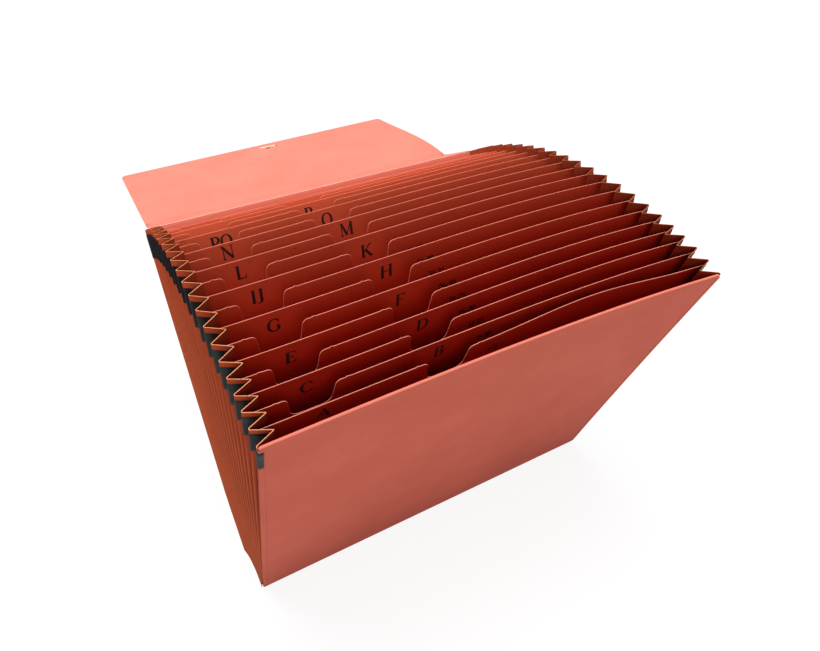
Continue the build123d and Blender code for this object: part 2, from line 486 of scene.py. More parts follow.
def bar_finish():
    """Cream moulded plastic with a faint mottle."""
    material, tree, shader, place = start_material("cream_plastic", 0.4, 0.5)
    mottle = noise(tree, place, Scale=260, Detail=3)
    tone = mix_colour(tree, mottle, srgb(246, 236, 210), srgb(226, 208, 176))
    give(tree, shader, {"Base Color": tone, "Roughness": spread_value(tree, mottle, 0.3, 0.7, 0.34, 0.5)})
    return material


# The paler second colours of the cover board and divider card are painted light for the rear boards
cover_paper = paper_finish("cover_board", srgb(180, 84, 66), srgb(190, 92, 74), srgb(228, 124, 104),
                           srgb(110, 44, 34), faded=srgb(236, 118, 96), specular=0.2)
divider_paper = paper_finish("divider_card", srgb(134, 21, 5), srgb(147, 26, 7), srgb(236, 152, 130),
                             srgb(80, 10, 4), faded=srgb(227, 100, 66), fibre=0.01)
gusset_paper = paper_finish("gusset_paper", srgb(166, 59, 29), srgb(180, 69, 36), srgb(238, 160, 112),
                            srgb(104, 20, 6))
# Painted light: the flap board is a paler copy of the cover board, where the overhead lamp falls on the
# flap
lit_flap_paper = paper_finish("flap_board", srgb(222, 126, 108), srgb(230, 136, 118), srgb(250, 190, 170),
                          srgb(150, 70, 56))
tape_cloth = tape_finish()
ink_and_hole_shade = ink_finish()
cream_plastic = bar_finish()

# Pockets: their two sides, and how pieces are attached to a board or baked in place

def pocket_sides(pocket):
    """Inner and outer panel of a pocket, and the way from the first to the second."""
    return (pocket - 1, pocket, 1) if pocket > upright_divider else (pocket, pocket - 1, -1)


def turn_between(piece):
    """Bake a piece's placement into its points, attached to no body."""
    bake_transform(piece)


def bend_with_pocket(piece):
    """Bake a piece's placement into its points through turn_between, attached to no body."""
    turn_between(piece)


def ride_panel(piece, panel):
    """Let a piece ride its panel; where the panel leans over, only bake its placement into its points."""
    if panel != swung_panel:
        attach(piece, panel_body(panel))
        return
    places = np.empty(3 * len(piece.data.vertices), np.float32)
    piece.data.vertices.foreach_get("co", places)
    bend_with_pocket(piece)


# Boards

rim_shares = np.array((0, 0.04, 0.15, 0.35, 0.65, 1.0))
board_rows = 26
painted_fill_depth = 14.0
painted_fill_least = 0.55
painted_fill_panel = 6.5


def painted_fill_range(panel):
    """Painted light on a divider: how much at its top edge, and how much more it gains further down.

    The first is a tent over the front half of the panels. The second rises over the first panels
    and falls again at the back.
    """
    least = painted_fill_least * max(1 - abs(panel - painted_fill_panel) / painted_fill_panel, 0)
    most = min(0.3 + 0.25 * panel, 1) * min(max((16 - panel) / 6, 0.15), 1)
    return least, most


def board_sheet(name, panel, line, feet, nibs, below, material, faded, cut_width, upright=False):
    """Closed board under a top line: a front and a back grid that meet in a round rim.

    Columns lead from places along the foot to points of the top line. The last rows are the top line
    set in along its normal, or straight down, and nibs raise their upper ends. The half thickness
    falls to nothing along a quarter circle at the rim, and the whole board is bowed.
    """
    half = panel_thickness(panel) / 2
    near = rim_shares * half
    high = joined(near, half + np.array(below))[::-1]
    along = np.gradient(line, axis=0) * ((1, 0) if upright else (1, 1))
    inward = beside(along[:, 1], -along[:, 0])
    inward /= np.linalg.norm(inward, axis=1, keepdims=True)
    top = line + high[:, None, None] * inward
    top[..., 1] += nibs * (1 - high / high[0])[:, None]
    foot = beside(feet, near[:, None] - half)
    shares = np.linspace(0, 1, board_rows)[1:-1]
    middle = foot[-1] + (top[0] - foot[-1]) * shares[:, None, None]
    grid = joined(foot, middle, top)
    x, up = grid[..., 0], grid[..., 1]
    inside = np.full_like(shares, side)
    row_gap = joined(near, inside, high)[:, None]
    thick = half * rim(np.minimum(row_gap, side - np.abs(x)), half)
    bend = -bend_depth(panel, x, up)
    placed = x + pressed_in(panel, x, up)
    faces = (on_board(panel, placed, up, out) for out in (bend + thick, bend - thick))
    top_gap = joined(np.full_like(near, side), inside, high)[:, None] * np.ones_like(x)
    # Painted light on the dividers: brighter further below the top edge, against the shade in the pockets
    least, most = (0, 0) if upright else painted_fill_range(panel)
    fresh = least + most * held((line[0, 1] - up) / painted_fill_depth)
    values = {"cut": held(1 - top_gap / cut_width), "fresh": fresh, "faded": np.full_like(x, faded)}
    return closed_sheet(name, *faces, material, values)


corner_start = 1.3
level_half = 145.0


def cover_line(panel):
    """Top line of a cover: level, with a quarter circle at each corner."""
    half = panel_thickness(panel) / 2
    near = joined(rim_shares * half, np.linspace(corner_start, cover_corner_radius, 6))
    x = joined(near - side, np.linspace(-level_half, level_half, 30), (side - near)[::-1])
    past = np.clip(np.abs(x) - (side - cover_corner_radius), 0, cover_corner_radius)
    drop = cover_corner_radius - np.sqrt(cover_corner_radius**2 - past**2)
    return beside(x, panel_height(panel) - drop)


def round_corner(before, corner, after, radius):
    """Points of the arc that rounds the corner between two straight lines."""
    first, last = np.subtract(before, corner), np.subtract(after, corner)
    first, last = first / np.linalg.norm(first), last / np.linalg.norm(last)
    half_angle = math.acos(np.dot(first, last)) / 2
    middle = (first + last) / np.linalg.norm(first + last)
    centre = corner + middle * radius / math.sin(half_angle)
    turn = np.linspace(-1, 1, 9)[:, None] * (math.pi / 2 - half_angle)
    flank = first - middle * np.dot(first, middle)
    flank /= np.linalg.norm(flank)
    return centre + radius * (-middle * np.cos(turn) - flank * np.sin(turn))


nib_distance = 6.5
nib_width = 1.6
nib_height = 0.55
column_step = 6
foot_overlap = 5.0


def divider_line(panel):
    """Top line of a divider with its rounded sight notch, and each column's foot and nib height.

    A low nib stands a little way off on either side of the notch.
    """
    notch_x = inner_notch_x if panel % 2 else outer_notch_x
    top = panel_height(panel) - divider_drop
    floor = top - notch_depth
    wide, narrow = notch_top_width / 2, notch_floor_width / 2
    marks = np.array(((-side, top), (notch_x - wide, top), (notch_x - narrow, floor),
                      (notch_x + narrow, floor), (notch_x + wide, top), (side, top)))
    radii = (notch_mouth_radius, notch_floor_radius, notch_floor_radius, notch_mouth_radius)
    arcs = [round_corner(*marks[i:i + 3], radius) for i, radius in enumerate(radii)]
    near = rim_shares * divider_thickness / 2
    nib_places = (notch_x - wide - nib_distance, notch_x + wide + nib_distance)
    nib_left, nib_right = (place + nib_width * np.linspace(-1, 1, 7) for place in nib_places)
    left_run = np.arange(2 - side, nib_left[0] - 1, column_step)
    right_run = np.arange(side - 2, nib_right[-1] + 1, -column_step)
    left = np.sort(joined(near - side, left_run, nib_left))
    right = np.sort(joined(nib_right, right_run, side - near))
    runs = [beside(x, top) for x in (left, right)]
    straight = np.linspace(0, 1, 5)[1:-1, None]
    parts = arcs[:1]
    for before, after in zip(arcs, arcs[1:]):
        parts += [before[-1] + (after[0] - before[-1]) * straight, after]
    line = joined(runs[0], *parts, runs[1])
    length = joined((0,), np.cumsum(np.linalg.norm(np.diff(line, axis=0), axis=1)))
    breaks = np.cumsum((len(left), 20, 5, 20))
    ends = length[joined((0,), breaks, (-1,))]
    spread = notch_depth - foot_overlap
    feet = np.interp(length, ends, (-side, notch_x - wide - spread, notch_x - wide, notch_x + wide,
                                    notch_x + wide + spread, side))
    away = np.abs(line[:, :1] - nib_places).min(axis=1)
    return line, feet, nib_height * np.exp(-np.square(2 * away / nib_width))


cover_cut_width = 0.6
divider_cut_width = 0.13
# Painted light on the dividers, growing from the third panel to the back
rear_painted_light_start = 3
rear_painted_light_run = 14
rear_painted_light_power = 1.85

# Painted light: the back board is mostly paler, the front board not
for name, panel, faded in (("front_board", 0, 0.0), ("back_board", last_panel, 0.8)):
    line = cover_line(panel)
    board = board_sheet(name, panel, line, line[:, 0], 0, (0.4,), cover_paper, faded, cover_cut_width,
                        upright=True)
    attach(board, panel_body(panel))
    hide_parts(panel_body(panel))

for panel in range(1, last_panel):
    faded = min(max((panel - rear_painted_light_start) / rear_painted_light_run, 0), 1) ** rear_painted_light_power
    board = board_sheet(f"divider_sheet_{panel:02d}", panel, *divider_line(panel), (0.5, 1.2, 2.4),
                        divider_paper, faded, divider_cut_width)
    ride_panel(board, panel)
    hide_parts(panel_body(panel))

# Gussets: each pocket's strip is laid out shut and then opened by its share of the pocket's angle

fold_overhang = 0.35
wrap_turn = np.linspace(0, math.pi / 2, 6)
leaf_shares = np.array((0.04, 0.15, 0.35, 0.55, 0.75, 0.88, 0.95, 0.985, 1.0))
half_wrap = joined(1 - np.cos(wrap_turn), np.ones_like(leaf_shares))
half_leaf = joined(np.zeros_like(wrap_turn), leaf_shares)

# Across a pleat: the way round the boards' edges, the way to the inner fold, and the turning share
pleat_wrap = joined(half_wrap, half_wrap[-2::-1])
pleat_leaf = joined(half_leaf, half_leaf[-2::-1])
pleat_share = joined(half_leaf / 2, 1 - half_leaf[-2::-1] / 2)
inner_fold_radius = 0.35
left_flatness = 0.84
board_clear = 0.3
sway_depth = 0.25
sway_length = 23.0
sway_phase = 2.1
sway_start = 60.0
puff_depth = 1.1
puff_pockets = 14
puff_height = 30.0


def opened(pocket, x, up, across, share):
    """Points of a pocket's paper: shut coordinates turned about the outer panel's base line."""
    inner, outer, way = pocket_sides(pocket)
    lean = leans[inner]
    y, z = bases[inner] - bases[outer]
    y = y + up * math.sin(lean) + way * across * math.cos(lean)
    z = z + up * math.cos(lean) - way * across * math.sin(lean)
    turn = way * share * pocket_angle(pocket)
    turned_y = bases[outer][0] + y * np.cos(turn) + z * np.sin(turn)
    turned_z = bases[outer][1] + z * np.cos(turn) - y * np.sin(turn)
    return beside(x, turned_y, turned_z) * metre


def pleat_across(pocket):
    """Places across a shut pocket, from the middle of one board to the middle of the other.

    From each board's middle the paper turns round the board's edge, then runs straight to the
    inner fold midway between the boards.
    """
    inner, outer, _ = pocket_sides(pocket)
    pitch = pocket_pitch(pocket)
    middle = panel_thickness(inner) / 2 + pocket_gap / 2
    halves = []
    for panel, room in ((inner, middle), (outer, pitch - middle)):
        face = panel_thickness(panel) / 2 + board_clear
        halves.append(joined(face * np.sin(wrap_turn), face + (room - face) * leaf_shares))
    return joined(halves[0], pitch - halves[1][-2::-1])


def pleat_rows(top):
    """Heights of a whole pleat from its foot to its top edge, crowded under the top."""
    below = np.array((4.0, 2.0, 1.0, 0.4, 0.05, 0.0))
    return joined(np.linspace(0, 1, 32)[:-1, None] * (top - below[0]), top - below[:, None])


def tape_rows(top):
    """Heights of the tape's band below a pleat's top edge."""
    return top - tape_drop - np.linspace(tape_height, 0, 8)[:, None]


def pleat_grid(pocket, hand, rows):
    """Middle surface of a side pleat, its turning shares, its distance below the top and its folds.

    The inner fold stands in from the side by the leg of a right triangle whose long side is the
    pleat's width, and is rounded off by a hyperbola. The left pleats are a little flatter and the
    front ones puff out at the foot, and a slow wave along the height keeps the fold from being
    ruler straight.
    """
    inner, outer, way = pocket_sides(pocket)
    leaf, share = pleat_leaf, pleat_share
    top = panel_height(inner) + (panel_height(outer) - panel_height(inner)) * share
    up = rows(top)
    half_gap = (pocket_gap + up * pocket_angle(pocket)) / 2
    depth = np.sqrt(pleat_width**2 - half_gap**2) * (left_flatness if hand < 0 else 1)
    blunt = inner_fold_radius / depth
    straight = (np.hypot(1 - leaf, blunt) - blunt) / (np.hypot(1, blunt) - blunt)
    sway = sway_depth * np.sin(up / sway_length + sway_phase * pocket) * leaf * held(up / sway_start)
    inset = fold_overhang * pleat_wrap + depth * (1 - straight) + sway
    puff = puff_depth * max(1 - pocket / puff_pockets, 0) * held(1 - up / puff_height) * (1 - leaf)
    x = hand * (side + fold_overhang - inset + puff * (hand < 0))
    inside = np.clip(x, -side, side)
    bow, press = (shape(inner, inside, up) * (1 - share) + shape(outer, inside, up) * share
                  for shape in (bow_depth, pressed_in))
    grid = opened(pocket, x + press, up, pleat_across(pocket) + way * bow, share)
    full = np.ones_like(up)
    return grid, share * full, top - up, leaf * full


floor_clear = 13.5
floor_blunt = 0.05
floor_foot = 0.2
tape_glue = 0.05
tape_lift = gusset_thickness / 2 + tape_glue + tape_thickness / 2


def pocket_floor_grid(pocket):
    """Middle surface of a pocket's floor: an upturned V along the width, laid out shut."""
    inner, outer, _ = pocket_sides(pocket)
    pitch = pocket_pitch(pocket)
    faces = (panel_thickness(inner) / 2 + board_clear, pitch - panel_thickness(outer) / 2 - board_clear)
    share = np.linspace(0, 1, 13)
    leaf = 1 - np.abs(2 * share - 1)
    across = faces[0] + (faces[1] - faces[0]) * share
    up = (pleat_width - 2 * floor_foot) * (1 - np.hypot(1 - leaf, floor_blunt) + floor_blunt) + floor_foot
    x = np.linspace(floor_clear - side, side - floor_clear, 40)[:, None]
    return opened(pocket, x, up, across, share), share * np.ones_like(x)


deep_start = 22.0
deep_run = 40.0
cut_depth = 0.05
right_cut = 0.4
highlight_share = 0.08
highlight_leaf = 0.1


def pleat_values(pocket, hand, below, leaf):
    """Pale cut edges, painted highlights and painted shade of a pleat's outer and inner face.

    Painted shade darkens the outer face to the inner fold, faster and more below the tape, where its outer
    folds get a painted highlight. Painted shade makes the inner face dark in front and lighter at the
    back.
    """
    # Painted shade on the outer face, growing to the inner fold and more below the tape
    deep = held((below - deep_start) / deep_run)
    upper = 0.6 * held(1.4 * leaf - 0.2)
    lower = 0.9 * held(leaf / 0.2)
    outer_fold_shade = upper * (1 - deep) + lower * deep
    # Painted shade on the inner face: dark in front, lighter at the back
    inner_fold_shade = (0.7 + 0.2 * leaf) * np.clip(1.25 - pocket / 18, 0.15, 1)
    cut = held(1 - below / cut_depth) * (1 if hand < 0 else right_cut)
    # Painted highlight on the outer folds below the tape, joined to the pale cut edge
    cut_and_highlight = np.maximum(cut, highlight_share * held(1 - leaf / highlight_leaf) * deep)
    return {"cut": (cut_and_highlight, cut), "fold": (outer_fold_shade, inner_fold_shade)}


def tape_fold_shade(pocket, leaf):
    """Painted shade on the tape: it grows to the inner fold, and all over from the fifth pocket back."""
    return held(3 * leaf - 0.35 + np.clip((pocket - 5) / 5, 0, 1.2))


for pocket in range(1, pocket_count + 1):
    for hand, word in ((-1, "left"), (1, "right")):
        grid, shares, below, leaf = pleat_grid(pocket, hand, pleat_rows)
        pleat = ribbon(f"pleat_{word}_{pocket:02d}", grid, gusset_thickness, gusset_paper,
                       pleat_values(pocket, hand, below, leaf), towards=(hand, 0, 0))
        bend_with_pocket(pleat)
        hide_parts(f"gusset_{pocket:02d}")
        grid, shares, _, leaf = pleat_grid(pocket, hand, tape_rows)
        # Painted shade on the tape, darkest in the folds and at the back
        fold = tape_fold_shade(pocket, leaf)
        tape = ribbon(f"tape_{word}_{pocket:02d}", grid, tape_thickness, tape_cloth,
                      {"fold": (fold, fold)}, lift=tape_lift, towards=(hand, 0, 0))
        bend_with_pocket(tape)
    grid, shares = pocket_floor_grid(pocket)
    floor_fold = ribbon(f"pocket_floor_{pocket:02d}", grid, gusset_thickness, gusset_paper,
                        towards=(0, 0, -1))
    bend_with_pocket(floor_fold)

# Board covering that turns round the covers' side edges onto their outer faces

wrap_width = 2.8
wrap_thickness = 0.15
wrap_glue = 0.02
wrap_cut_depth = 0.4
patch_reach = 2.2
patch_lift = wrap_thickness / 2 + 0.15
slit_rows = np.linspace(3.0, 3.6, 3)
slit_reach = 1.4
slit_lift = patch_lift + tape_thickness / 2 + 0.05
slit_thickness = 0.06


def cover_wrap_grid(panel, hand, face, heights, reach):
    """Middle surface of paper that turns a quarter round a cover's edge and lies on its outer face."""
    out_far = panel_thickness(panel) / 2 + wrap_thickness / 2 + wrap_glue
    flat = np.linspace(0, 1, 7)[1:]
    inset = joined(fold_overhang * (1 - np.cos(wrap_turn)), fold_overhang + flat * reach)
    out = joined(out_far * np.sin(wrap_turn), np.full_like(flat, out_far))
    x = hand * (side + fold_overhang - inset)
    up = heights[:, None]
    inside = np.clip(x, -side, side)
    placed = x + pressed_in(panel, inside, up)
    return on_board(panel, placed, up, face * out - bow_depth(panel, inside, up))


for panel, face in ((0, 1), (last_panel, -1)):
    body = panel_body(panel)
    top = panel_height(panel) - cover_corner_radius
    normal = on_board(panel, 0, 0, face) - on_board(panel, 0, 0, 0)
    for hand, word in ((-1, "left"), (1, "right")):
        below = joined(np.linspace(top - 1.5, 2, 40), (1, 0.5, 0.2, 0))
        towards = normal / metre + np.array((hand, 0, 0))
        grid = cover_wrap_grid(panel, hand, face, top - below, wrap_width)
        cut = held(1 - below / wrap_cut_depth)[:, None] * np.ones(grid.shape[1])
        wrap = ribbon(f"{body}_wrap_{word}", grid, wrap_thickness, cover_paper, {"cut": (cut, cut)},
                      towards=towards)
        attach(wrap, body)

towards = (-1, -1, 0)
grid = cover_wrap_grid(0, -1, 1, tape_rows(front_height)[:, 0], patch_reach)
patch = ribbon("front_cover_tape", grid, tape_thickness, tape_cloth, lift=patch_lift, towards=towards)
heights = front_height - tape_drop - tape_height + slit_rows
grid = cover_wrap_grid(0, -1, 1, heights, slit_reach)[:, 4:]
slit = ribbon("front_cover_slit", grid, slit_thickness, ink_and_hole_shade, lift=slit_lift, towards=towards)
for piece in (patch, slit):
    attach(piece, "front_cover")

# Index letters and numbers, printed on the dividers' front faces

# Strokes are laid out in hundredths of a letter's height
letter_grid = 100
thick_stroke = 15
thin_stroke = 5.5
serif_stroke = 5


def bar(x0, y0, x1, y1, width=thin_stroke):
    """Straight stroke: its two ends and one width."""
    return np.array(((x0, y0), (x1, y1))), np.array((width, width))


def over(x0, x1, width=thin_stroke):
    """Level stroke along the top."""
    return bar(x0, letter_grid - serif_stroke / 2, x1, letter_grid - serif_stroke / 2, width)


def under(x0, x1, width=thin_stroke):
    """Level stroke along the foot."""
    return bar(x0, serif_stroke / 2, x1, serif_stroke / 2, width)


def foot(x, reach=12):
    """Serif under a stroke."""
    return under(x - reach, x + reach, serif_stroke)


def crown(x, reach=12):
    """Serif over a stroke."""
    return over(x - reach, x + reach, serif_stroke)


def stem(x, reach=13):
    """Heavy upright stroke with a serif at each end."""
    return [bar(x, 0, x, letter_grid, thick_stroke), foot(x, reach), crown(x, reach)]


def bowl(x, y, rx, ry, start, end, heavy=thick_stroke):
    """Part of an ellipse, heavy where it runs upright and thin where it runs level."""
    turn = np.radians(np.linspace(start, end, 17))
    width = thin_stroke + (heavy - thin_stroke) * np.abs(np.cos(turn)) ** 1.5
    return beside(x + rx * np.cos(turn), y + ry * np.sin(turn)), width


# Letters and signs: the width, then the strokes
glyphs = {
    "A": (92, [bar(10, 0, 46, 100), bar(45, 100, 82, 0, 14), bar(22, 36, 68, 36), foot(10), foot(82)]),
    "B": (82, [*stem(17), bowl(35, 76, 25, 24, -90, 90), bowl(35, 27, 31, 27, -90, 90), over(17, 35),
               bar(17, 53, 38, 53), under(17, 35)]),
    "C": (84, [bowl(46, 50, 38, 50, 48, 312), bar(72, 66, 74, 98), bar(70, 10, 78, 20)]),
    "D": (90, [*stem(17), bowl(36, 50, 42, 47.5, -90, 90), over(17, 36), under(17, 36)]),
    "E": (76, [*stem(17), over(17, 66), bar(17, 52, 50, 52), under(17, 68), bar(65, 97.5, 65, 78),
               bar(50, 42, 50, 62), bar(67, 2.5, 69, 24)]),
    "F": (72, [*stem(17), over(17, 66), bar(17, 52, 50, 52), bar(65, 97.5, 65, 78), bar(50, 42, 50, 62)]),
    "G": (90, [bowl(46, 50, 38, 50, 48, 318), bar(72, 66, 74, 98), bar(74, 10, 74, 44, 14),
               bar(60, 42, 86, 42)]),
    "H": (98, [*stem(17), *stem(79), bar(17, 52, 79, 52)]),
    "I": (42, stem(20)),
    "J": (50, [bar(30, 16, 30, 100, thick_stroke), over(16, 44, serif_stroke),
               bowl(14, 14, 17, 20, -120, 10)]),
    "K": (94, [*stem(17), bar(24, 42, 72, 98), bar(38, 56, 80, 2, 14), foot(82), crown(74)]),
    "L": (76, [*stem(17), under(17, 66), bar(66, 2.5, 68, 26)]),
    "M": (114, [bar(16, 0, 16, 100), foot(16), crown(16), *stem(95), bar(18, 98, 54, 4, 14),
                bar(54, 4, 92, 98)]),
    "N": (96, [bar(16, 0, 16, 100), foot(16), crown(10), bar(12, 98, 80, 2, 14), bar(80, 0, 80, 100),
               crown(80)]),
    "O": (94, [bowl(46, 50, 38, 50, 0, 360)]),
    "P": (76, [*stem(17), bowl(34, 73, 30, 25, -90, 90), over(17, 34), bar(17, 48, 34, 48)]),
    "Q": (96, [bowl(46, 50, 38, 50, 0, 360), bar(44, 6, 82, -20, 10)]),
    "R": (88, [*stem(17), bowl(34, 74, 28, 23.5, -90, 90), over(17, 34), bar(17, 50, 36, 50),
               bar(38, 50, 76, 2, 14), foot(78)]),
    "S": (70, [bowl(34, 74.5, 24, 25, 30, 235, 12), bowl(34, 26, 26, 26, -145, 70, 13),
               bar(20, 56, 46, 50, 12), bar(54, 74, 56, 98), bar(10, 2, 12, 26)]),
    "T": (84, [*stem(41), over(6, 76), bar(7, 97.5, 5, 76), bar(75, 97.5, 77, 76)]),
    "U": (96, [bar(18, 30, 18, 100, thick_stroke), crown(18), bowl(46, 30, 28, 29, 180, 360),
               bar(74, 30, 74, 100), crown(74)]),
    "V": (90, [bar(12, 100, 46, 0, 14), bar(46, 0, 78, 100), crown(12), crown(78)]),
    "W": (120, [bar(10, 100, 38, 0, 14), bar(38, 0, 60, 90), bar(56, 100, 84, 0, 14),
                bar(84, 0, 108, 100), crown(10), crown(58), crown(108)]),
    "-": (42, [bar(6, 40, 34, 40, 10)]),
    "0": (62, [bowl(29, 50, 21, 50, 0, 360, 12)]),
    "1": (50, [bar(28, 0, 28, 100, 12), foot(28), bar(10, 86, 28, 97)]),
    "2": (60, [bowl(28, 74, 21, 25, -25, 165, 12), bar(46, 64, 8, 6, 8), bar(6, 5, 52, 5, 10)]),
    "3": (60, [bowl(26, 76, 20, 23, -80, 150, 11), bowl(26, 27, 23, 27, -150, 85, 12)]),
    "4": (62, [bar(40, 0, 40, 100, 12), bar(40, 98, 5, 30), bar(5, 28, 56, 28, 8)]),
    "5": (60, [bowl(25, 30, 25, 30, -140, 115, 12), bar(14, 56, 20, 96), bar(18, 95, 50, 95, 9)]),
    "6": (62, [bowl(30, 30, 22, 30, 0, 360, 11), bowl(50, 36, 42, 64, 100, 180, 11)]),
    "7": (58, [bar(6, 95, 54, 95, 9), bar(52, 94, 22, 0, 9)]),
    "8": (62, [bowl(30, 76, 18, 23, 0, 360, 10), bowl(30, 27, 22, 27, 0, 360, 11)]),
    "9": (62, [bowl(30, 69, 22, 30, 0, 360, 11), bowl(10, 62, 42, 62, -80, 0, 11)]),
}
ink_film = 0.04
ink_layers = ink_film * np.array((2, 2, 0.5, 0.5))


def stroke_tube(line, width):
    """Flat closed strip along a stroke: its line set off by half its width, in two layers."""
    along = np.gradient(line, axis=0)
    along /= np.linalg.norm(along, axis=1, keepdims=True)
    across = beside(-along[:, 1], along[:, 0]) * width[:, None] / 2
    flat = np.stack((line + across, line - across), axis=1)
    return np.concatenate((flat, flat[:, ::-1]), axis=1)


def print_label(name, panel, text, centre_x, below, height, weight):
    """Letters of one label as thin ink films that follow the divider's bowed front face."""
    widths = [glyphs[letter][0] for letter in text]
    unit = height / letter_grid
    start = centre_x - sum(widths) * unit / 2
    base = panel_height(panel) - below - height / 2
    points, faces, count = [], [], 0
    for letter, width in zip(text, widths):
        for line, stroke in glyphs[letter][1]:
            tube = stroke_tube(line, stroke * weight)
            x = start + tube[..., 0] * unit
            up = base + tube[..., 1] * unit
            out = divider_thickness / 2 - bend_depth(panel, x, up) + ink_layers
            points.append(on_board(panel, x + pressed_in(panel, x, up), up, out).reshape(-1, 3))
            faces.append(tube_faces(len(line), 2) + count)
            count += points[-1].shape[0]
        start += width * unit
    label = mesh_piece(name, np.concatenate(points), np.concatenate(faces), ink_and_hole_shade, smooth=False)
    ride_panel(label, panel)


# Letters, their middles along the width and their middles below the gusset top
index_letters = (
    ("A", -114.2, 12.8), ("B", -39.0, 14.5), ("C", -115.2, 15.7), ("D", -39.0, 13.8), ("E", -115.4, 15.4),
    ("F", -41.2, 14.5), ("G", -115.4, 14.4), ("H", -36.2, 14.6), ("IJ", -115.2, 13.8), ("K", -35.8, 15.4),
    ("L", -115.8, 12.6), ("M", -36.6, 11.6), ("N", -115.6, 10.8), ("O", -39.0, 12.2), ("PQ", -112.6, 12.6),
    ("R", -41.6, 12.2), ("S", -114.0, 18.0), ("T", -40.0, 16.0), ("UV", -114.0, 18.0), ("W", -40.0, 16.0),
)
letter_height = 9.0
letter_weight = 1.3
number_x = -8.0
number_below = 16.0
number_height = 4.4
number_weight = 1.9
pocket_size = 5
for panel, (letters, x, below) in enumerate(index_letters, start=1):
    print_label(f"index_letter_{panel:02d}", panel, letters, x, below, letter_height, letter_weight)
    numbers = f"{pocket_size * (panel - 1) + 1}-{pocket_size * panel}"
    print_label(f"index_number_{panel:02d}", panel, numbers, number_x, number_below, number_height,
                number_weight)

# Flap: a spine strip and the flap board, paper laid over their creases, and the closure bar's solid

crease_offset = 0.75
spine_length = 43.7
flap_thickness = 0.9
flap_length = 133.5
flap_root_width = 296.0
flap_tip_width = 282.0
flap_corner_radius = 5.0
spine_fold_angle = 82.0
flap_fold_angle = 22.0
flap_twist = 2.6
flap_bulge = 4.0
bulge_peak = 6.75
flap_cut_width = 0.3
spine_lean = leans[last_panel] + math.radians(spine_fold_angle)
flap_lean = spine_lean - math.radians(flap_fold_angle)
crease_out = -cover_thickness / 2 - crease_offset
crease = on_board(last_panel, 0, back_height + crease_offset, crease_out)[1:] / metre
fold = crease + spine_length * np.array((math.sin(spine_lean), math.cos(spine_lean)))
spine_place = (crease, spine_lean, 0.0)
flap_place = (fold, flap_lean, spine_length)


def flap_half_width(reach):
    """Half the flap's width at a distance from the crease, narrowing evenly to the free edge."""
    share = reach / (spine_length + flap_length)
    return (flap_root_width + (flap_tip_width - flap_root_width) * share) / 2


def on_flap(place, x, reach, out):
    """Points on the spine or the flap from the crease, in metres.

    The left side is pressed in at the crease like the back cover, the flap's right side bulges up
    by a cubic that falls to nothing at both ends, and the flap twists towards its free edge.
    """
    (y, z), lean, start = place
    total = start + reach
    x = x + pressed_in(last_panel, x, back_height) * (1 - total / (spine_length + flap_length))
    past = held((total - spine_length) / flap_length)
    bulge = flap_bulge * held(x / side) ** 2 * bulge_peak * past * (1 - past) ** 2
    out = out + flap_twist * x / side * past + bulge
    y = y + reach * math.sin(lean) - out * math.cos(lean)
    z = z + reach * math.cos(lean) + out * math.sin(lean)
    return beside(x, y, z) * metre


def flap_board(name, place, length, corner):
    """Closed flap board with a round rim: rows along its length, each as wide as its outline there."""
    half = flap_thickness / 2
    near = rim_shares * half
    turn = np.sin(np.linspace(0, 1.4, 9))
    rows = joined(near - half, np.linspace(2, length - corner - 1, 24), length - corner + corner * turn,
                  length - near[::-1])
    rows = np.unique(rows)[:, None]
    past = np.clip(rows - length + corner, 0, corner)
    wide = flap_half_width(place[2] + rows) - corner + np.sqrt(corner**2 - past**2)
    inner = np.linspace(-0.98, 0.98, 41)
    rim_columns = 1 - near / flap_half_width(place[2])
    x = wide * joined(-rim_columns, inner, rim_columns[::-1])
    edge = np.minimum(np.minimum(rows + half, length - rows), wide - np.abs(x))
    thick = half * rim(edge, half)
    faces = (on_flap(place, x, rows, out) for out in (thick, -thick))
    values = {"cut": held(1 - edge / flap_cut_width)}
    board = closed_sheet(f"{name}_board", *faces, lit_flap_paper, values)
    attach(board, name)
    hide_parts(name)


flap_board("flap_spine", spine_place, spine_length - crease_offset, 0.0)
flap_board("flap", flap_place, flap_length, flap_corner_radius)

strip_thickness = 0.1
strip_out = flap_thickness / 2 + strip_thickness / 2 + 0.03
strip_margin = 0.5
strip_places = np.linspace(-1, 1, 41)
strip_lift = 0.08


def crease_strip(name, rows, towards):
    """Paper over a crease: its first rows lie on one board and its last rows on the next."""
    grid = np.stack(rows)
    strip = ribbon(name, grid, strip_thickness, lit_flap_paper, towards=towards)
    turn_between(strip)


x = strip_places * (flap_half_width(0) - strip_margin)
cover_x = x + pressed_in(last_panel, x, back_height)
rows = [on_board(last_panel, cover_x, back_height + strip_lift, out) for out in (0.9, 0.2, -0.5)]
rows += [on_flap(spine_place, x, reach, strip_out) for reach in (1.5, 3.0, 6.0)]
crease_strip("crease_paper", rows, (0, 0, 1))
x = strip_places * (flap_half_width(spine_length) - strip_margin)
for word, way in (("upper", 1), ("lower", -1)):
    rows = [on_flap(spine_place, x, spine_length - back, way * strip_out) for back in (5.0, 2.5, 0.8)]
    rows += [on_flap(flap_place, x, reach, way * strip_out) for reach in (0.8, 2.5, 5.0)]
    crease_strip(f"fold_paper_{word}", rows, (0, 0, way))

# Painted shade in the flap's two holes, under the closure bar and for the cord, as dark discs: places
# across and along the flap, and radii
hole_shade_places = ((4.5, 121.0, 2.4), (14.4, 121.0, 1.0))
hole_shade_out = flap_thickness / 2 + 0.05
hole_shade_thickness = 0.04

